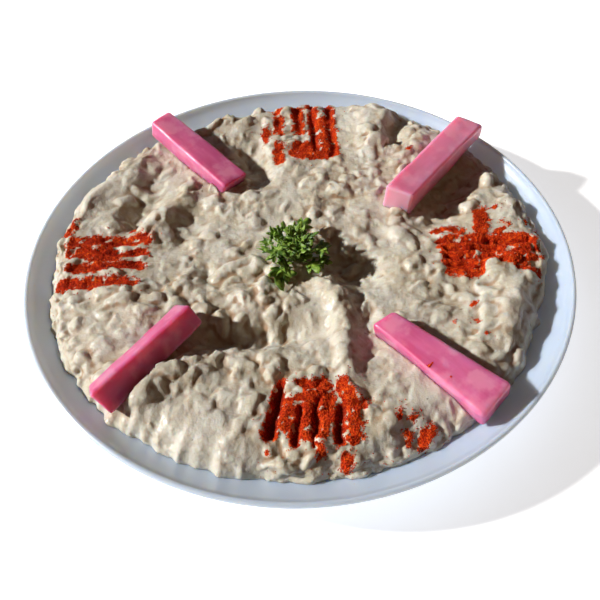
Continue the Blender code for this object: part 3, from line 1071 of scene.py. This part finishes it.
# Painted shade: the paprika is darkened where the fork pressed deep, for the shade in the furrows.
spice = dip.mix(dip.rise(dip.attribute("furrow"), 0.6, 2.4) * 0.75, spice, (0.09, 0.004, 0.001))
moist = dip.bump(dip.noise(0.8, detail=4, roughness=0.7), 0.14, dip.bump(shreds, 0.42))
dip.set(
    Base_Color=cream,
    Roughness=0.50 + 0.2 * shreds,
    Subsurface_Weight=0.5,
    Subsurface_Radius=(1.0, 0.6, 0.32),
    Subsurface_Scale=2.2 * MM,
    Coat_Weight=0.13 - 0.10 * crease_mask,
    Coat_Roughness=0.22,
    Normal=moist,
)
coarse = dip.bump(clumps, 0.6, moist)
dip.overlay(cover, Base_Color=spice, Roughness=0.7 + 0.2 * clumps, Specular_IOR_Level=0.1, Normal=coarse)
settle(paste, "dip", dip.material, "dip")

# %% [markdown]
# ## Loose paprika
#
# Paprika is a coarse powder. Each grain is a small lopsided double pyramid with six
# triangles, half sunk into the paste. All the grains are one mesh, and each carries a
# tone of its own so that no two neighbours match, with painted shade making the grains
# deep in the furrows darker. Two tiny pinches have fallen on the front right baton, and
# the nearest points of its top say where their grains lie.

# %% Grains
GRAINS = 32000
GRAIN_SIZES = (0.16, 0.36)
# (share of the baton's length, way across it, spread, grains)
PINCHES = ((0.49, -4.4, 0.6, 140), (0.66, -3.3, 0.3, 26))
GRAIN_POINTS = np.array([(1, 0, 0), (-0.5, 0.87, 0), (-0.5, -0.87, 0), (0, 0, 1), (0, 0, -1)], dtype=float)
GRAIN_FACES = np.array([(0, 1, 3), (1, 2, 3), (2, 0, 3), (1, 0, 4), (2, 1, 4), (0, 2, 4)])


def random_turns(count, dice):
    """Rotation matrices spread evenly over all directions."""
    q = dice.normal(size=(count, 4))
    w, x, y, z = (q / np.linalg.norm(q, axis=1, keepdims=True)).T
    return np.stack([
        np.stack([1 - 2 * (y * y + z * z), 2 * (x * y - z * w), 2 * (x * z + y * w)], axis=1),
        np.stack([2 * (x * y + z * w), 1 - 2 * (x * x + z * z), 2 * (y * z - x * w)], axis=1),
        np.stack([2 * (x * z - y * w), 2 * (y * z + x * w), 1 - 2 * (x * x + y * y)], axis=1),
    ], axis=1)


def spots_on_paste(weight, count, dice):
    """Random places on the paste's top, more of them where the weight is higher."""
    cell = weight[:-1, :-1].ravel()
    chosen = dice.choice(len(cell), count, p=cell / cell.sum())
    i, j = np.divmod(chosen, weight.shape[1] - 1)
    s, t = dice.uniform(0, 1, (2, count, 1))
    near = top[i, j] * (1 - s) + top[i + 1, j] * s
    far = top[i, j + 1] * (1 - s) + top[i + 1, j + 1] * s
    return near * (1 - t) + far * t


def spots_on_baton(name, share, across, spread, count, dice):
    """Random places close together on a baton's top."""
    baton, shape = batons[name], BATONS[name]
    length = (Vector(shape["outer"]) - Vector(shape["inner"])).length
    around = dice.normal(0, spread, (count, 2)) + np.array([(share - 0.5) * length, across])
    above = 3 * max(shape["heights"])
    places = [baton.closest_point_on_mesh(Vector((x, y, above)) * MM)[1] for x, y in around]
    return np.array([baton.matrix_world @ place for place in places]) / MM


def grain_mesh(spots, sizes, dice):
    """One lopsided double pyramid at each spot."""
    stretch = dice.uniform(0.5, 1.4, (len(spots), len(GRAIN_POINTS), 1))
    shapes = GRAIN_POINTS[None] * stretch * sizes[:, None, None]
    shapes = np.einsum("nij,nkj->nki", random_turns(len(spots), dice), shapes)
    points = (shapes + spots[:, None]).reshape(-1, 3)
    faces = (GRAIN_FACES[None] + len(GRAIN_POINTS) * np.arange(len(spots))[:, None, None]).reshape(-1, 3)
    return points, faces


dice = np.random.default_rng(9)
weight = powder(paste_x, paste_y, 0.6, 1.2) + 0.006 * powder(paste_x, paste_y, 6.0, 1.0)
pinches = [spots_on_baton("front_right", *pinch, dice) for pinch in PINCHES]
spots = np.concatenate([spots_on_paste(weight, GRAINS, dice), *pinches])
sizes = dice.uniform(*GRAIN_SIZES, len(spots))
spots[:, 2] += sizes * dice.uniform(-0.3, 0.5, len(spots))
grains = make_piece("paprika_grains", *grain_mesh(spots, sizes, dice))
# Random tone, with painted shade: grains deep in a furrow are darker.
tones = dice.uniform(0, 1, len(spots)) * (1 - 0.33 * np.minimum(furrow_depth(spots[:, 0], spots[:, 1]), 2.4))
add_attribute(grains, "tone", np.repeat(tones, len(GRAIN_POINTS)))

spice_grain = Finish("paprika_grain")
tone = spice_grain.attribute("tone") * 0.8 + 0.2 * spice_grain.noise(0.5)
spice_grain.set(
    Base_Color=spice_grain.node("ShaderNodeValToRGB", {"stops": SPICE_STOPS}, {"Fac": tone}),
    Roughness=0.6 + 0.2 * tone,
    Specular_IOR_Level=0.2,
)
settle(grains, "paprika", spice_grain.material)

# %% [markdown]
# ## Parsley
#
# The sprig is a tuft of short stems that fan out from one point. Each ends in three
# blades, and each blade has toothed lobes and is cupped and a little twisted. A fan of points from the leaflet's base gives the blade, and it has a real
# thickness, as a leaf does.

# %% Parsley shape
LEAF_SPOKES = 27
LEAF_RINGS = 4
LEAF_THICKNESS = 0.28
LOBES = ((0.0, 1.0, 0.62), (0.85, 0.80, 0.52), (-0.85, 0.80, 0.52), (1.55, 0.42, 0.45), (-1.55, 0.42, 0.45))


def leaflet(length, dice):
    """One blade, along +X from its base at the origin."""
    angles = np.linspace(-1.9, 1.9, LEAF_SPOKES)
    reach = np.zeros_like(angles)
    for middle, size, width in LOBES:
        off = np.abs(angles - middle * dice.uniform(0.9, 1.1)) / width
        reach = np.maximum(reach, size * dice.uniform(0.88, 1.1) * np.clip(1 - 0.75 * off**1.3, 0.12, 1))
    reach *= length * (1 + 0.10 * np.cos(angles * 12 + dice.uniform(0, 6)))
    points = [(0.0, 0.0, 0.0)]
    cup, fold, twist = dice.uniform(-0.25, 0.35), dice.uniform(0.1, 0.4), dice.uniform(-0.5, 0.5)
    for ring in range(1, LEAF_RINGS + 1):
        share = ring / LEAF_RINGS
        for angle, far in zip(angles, reach):
            r = far * share
            x, y = r * math.cos(angle), r * math.sin(angle)
            z = cup * r * r / length - fold * abs(y) + twist * x * y / length
            z += 0.05 * length * math.sin(6 * angle) * share**2
            points.append((x, y, z))
    faces = []
    for k in range(LEAF_SPOKES - 1):
        faces.append((0, 1 + k, 2 + k))
        for ring in range(LEAF_RINGS - 1):
            a = 1 + ring * LEAF_SPOKES + k
            faces.append((a, a + LEAF_SPOKES, a + LEAF_SPOKES + 1, a + 1))
    return np.array(points), faces


def stem_tube(start, bend, end, radius, sides=6, steps=7):
    """A round stem along a curve from start to end that leaves start towards bend."""
    points, faces = [], []
    for step in range(steps + 1):
        t = step / steps
        centre = start * (1 - t) ** 2 + bend * 2 * t * (1 - t) + end * t * t
        heading = ((bend - start) * (1 - t) + (end - bend) * t).normalized()
        side = heading.orthogonal().normalized()
        other = heading.cross(side)
        for k in range(sides):
            angle = 2 * math.pi * k / sides
            points.append(centre + (side * math.cos(angle) + other * math.sin(angle)) * radius * (1 - 0.4 * t))
    for step in range(steps):
        for k in range(sides):
            a, b = step * sides + k, step * sides + (k + 1) % sides
            faces.append((a, b, b + sides, a + sides))
    faces.append(tuple(range(sides))[::-1])
    faces.append(tuple(steps * sides + k for k in range(sides)))
    return np.array([tuple(p) for p in points]), faces


class Joined:
    """Collects small meshes that become one piece."""

    def __init__(self):
        self.points, self.faces, self.count = [], [], 0

    def add(self, points, faces):
        self.points.append(points)
        self.faces += [tuple(int(i) + self.count for i in face) for face in faces]
        self.count += len(points)

    def make(self, name):
        return make_piece(name, np.concatenate(self.points), self.faces)


def blade_place(where, heading, tilt, roll):
    """Rotation and place that point a leaflet's +X along a heading and a tilt, in radians."""
    turn = Matrix.Rotation(heading, 3, "Z") @ Matrix.Rotation(-tilt, 3, "Y") @ Matrix.Rotation(roll, 3, "X")
    return lambda points: points @ np.array(turn).T + np.array(where)


# (x, y, z, heading in degrees, tilt, length) of each leaflet, from its own base.
LEAFLETS = (
    (-12, 2, 29, 110, 15, 5), (-12, -1, 29, 186, 5, 5.5), (-9, 5, 31, 130, 25, 4.5), (-5, 6, 32, 100, 20, 4.5),
    (0, 6, 32, 62, 20, 4.5), (1.5, 9, 31, 42, 20, 6), (1, 2, 34, 55, 35, 4.5), (4, 1, 33, 12, 20, 4.5),
    (-6, 1, 34, 195, 25, 4.5), (-2, 0, 35, 120, 40, 4.5), (-4, -4, 34, 255, 20, 4.5), (-2, -4, 34, 285, 15, 5),
    (-7, -12, 29, 262, -10, 10.0), (-5, -9, 30, 232, 5, 6), (3, -5, 32, 330, 10, 5), (7, -3, 30, 0, 0, 5.5),
    (9, -6, 28, 335, -5, 5.5), (5, -9, 28, 305, 0, 5.5), (9, 0, 29, 25, 5, 4.5), (-10, 3, 31, 60, 30, 4.5),
    (-9, -5, 30, 215, 10, 4.5), (-1, 4, 34, 85, 45, 4.5), (2, -2, 35, 345, 35, 4.5), (-7, 5, 32, 170, 30, 4.5),
)
FILLING = 26  # more leaflets at random in the heart of the tuft
SPRIG_BASE = Vector((-0.5, -4.0, 23.5))
STEM_RADIUS = 0.45

dice = np.random.default_rng(14)
leaves, stems = Joined(), Joined()
heart = [
    (dice.normal(-2.5, 4.5), dice.normal(-2.0, 3.6), dice.uniform(29.5, 34), dice.uniform(0, 360), dice.uniform(-10, 45), 4.4)
    for _ in range(FILLING)
]
for x, y, z, heading, tilt, length in list(LEAFLETS) + heart:
    where = Vector((x, y, z))
    bend = SPRIG_BASE.lerp(where, 0.4) + Vector((0, 0, 2.5))
    stems.add(*stem_tube(SPRIG_BASE, bend, where, STEM_RADIUS))
    for turn, scale in ((0, 1.0), (55, 0.6), (-55, 0.6)):
        points, faces = leaflet(length * scale * dice.uniform(0.9, 1.1), dice)
        place = blade_place(
            where,
            math.radians(heading + turn * dice.uniform(0.8, 1.3)),
            math.radians(tilt + dice.uniform(-20, 20)),
            dice.uniform(-0.6, 0.6),
        )
        leaves.add(place(points), faces)

parsley = leaves.make("parsley_leaves")
parsley_stems = stems.make("parsley_stems")
thickness = parsley.modifiers.new("thickness", "SOLIDIFY")
thickness.thickness = LEAF_THICKNESS * MM
thickness.offset = 0

# %% Parsley finish
leaf = Finish("parsley_leaf")
veins = leaf.noise(2.5, detail=3)
leaf.set(
    Base_Color=leaf.mix(leaf.rise(veins, 0.35, 0.65), (0.055, 0.13, 0.012), (0.25, 0.39, 0.050)),
    Roughness=0.38 + 0.2 * veins,
    Subsurface_Weight=0.2,
    Subsurface_Radius=(0.4, 0.8, 0.15),
    Subsurface_Scale=0.8 * MM,
    Normal=leaf.bump(leaf.noise(0.7, detail=2), 0.08),
)
stalk = Finish("parsley_stem")
stalk.set(
    Base_Color=stalk.mix(stalk.noise(2), (0.14, 0.24, 0.05), (0.30, 0.42, 0.12)),
    Roughness=0.35 + 0.1 * stalk.noise(1),
)
settle(parsley, "parsley", leaf.material, "parsley")
settle(parsley_stems, "parsley", stalk.material)
